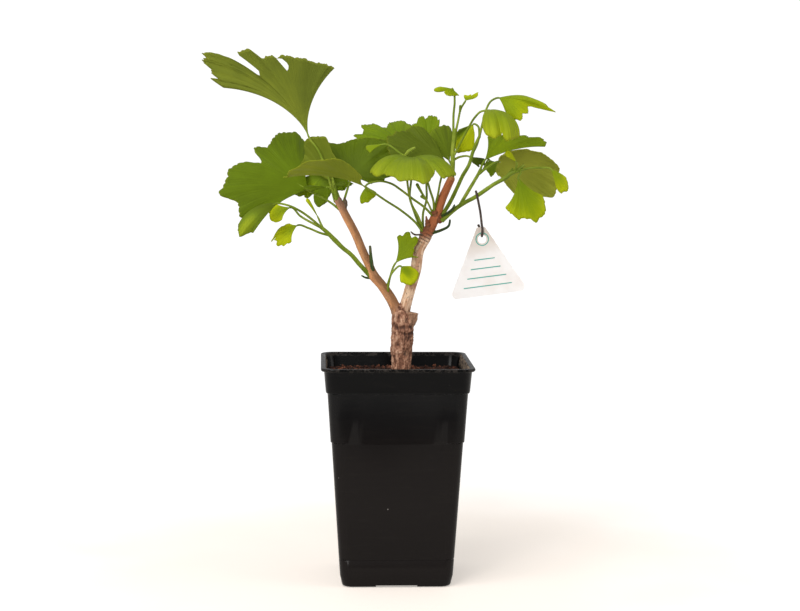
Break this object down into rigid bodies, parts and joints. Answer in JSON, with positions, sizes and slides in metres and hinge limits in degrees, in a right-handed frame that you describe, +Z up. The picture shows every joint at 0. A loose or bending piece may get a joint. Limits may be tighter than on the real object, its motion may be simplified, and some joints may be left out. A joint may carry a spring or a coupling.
{
  "type": "potted ginkgo bonsai tree",
  "caption": "Young ginkgo bonsai with a forked woody trunk, green shoots and fan-shaped leaves, growing in a square black nursery pot with a blank triangular label on a wire.",
  "frame": {"origin": "middle of the pot's underside, on the surface that the pot stands on", "axes": "+Z up along the trunk, +X to the right of the tree's front view, +Y away behind the tree"},
  "size_m": [0.2621, 0.1166, 0.3844],
  "materials": {
    "pot": "satin black, moulded, dusty at the lip",
    "soil": "dry peat and bark crumbs",
    "bark": "matt bark, furrowed on the trunk",
    "shoot": "smooth green stem",
    "leaf": "soft satin leaf with fine fanned veins",
    "label": "satin white card",
    "wire": "dark brown coating"
  },
  "bodies": {
    "root": {"pot": "pot", "soil": "soil", "trunk": "bark", "label": "label", "label_wire": "wire", "shoot_low_left": "shoot", "shoot_left_tip": "shoot", "shoot_upright": "shoot", "shoot_right_tall": "shoot", "shoot_right_long": "shoot", "shoot_right_fork": "shoot", "bud_stalk": "shoot", "leaf_top_left": "leaf", "leaf_wide_left": "leaf", "leaf_drooping_left": "leaf", "leaf_upright_left": "leaf", "leaf_long_left": "leaf", "leaf_inner_left": "leaf", "leaf_curled_left": "leaf", "leaf_back_left": "leaf", "leaf_young_left": "leaf", "leaf_young_inner": "leaf", "leaf_shoot_upper": "leaf", "leaf_shoot_lower": "leaf", "leaf_shoot_tip": "leaf", "leaf_fork_upper": "leaf", "leaf_fork_lower": "leaf", "leaf_front_middle": "leaf", "leaf_dark_middle": "leaf", "leaf_top_middle": "leaf", "leaf_back_middle": "leaf", "leaf_behind_shoot": "leaf", "leaf_small_middle": "leaf", "leaf_crown_cap": "leaf", "leaf_crown_bud": "leaf", "leaf_folded": "leaf", "leaf_top_right": "leaf", "leaf_umbrella_right": "leaf", "leaf_dark_right": "leaf", "leaf_arched_right": "leaf", "leaf_hanging_right": "leaf", "leaf_curl_right": "leaf", "leaf_tip_right": "leaf", "leaf_small_back": "leaf", "leaf_small_inner": "leaf"}
  },
  "joints": []
}
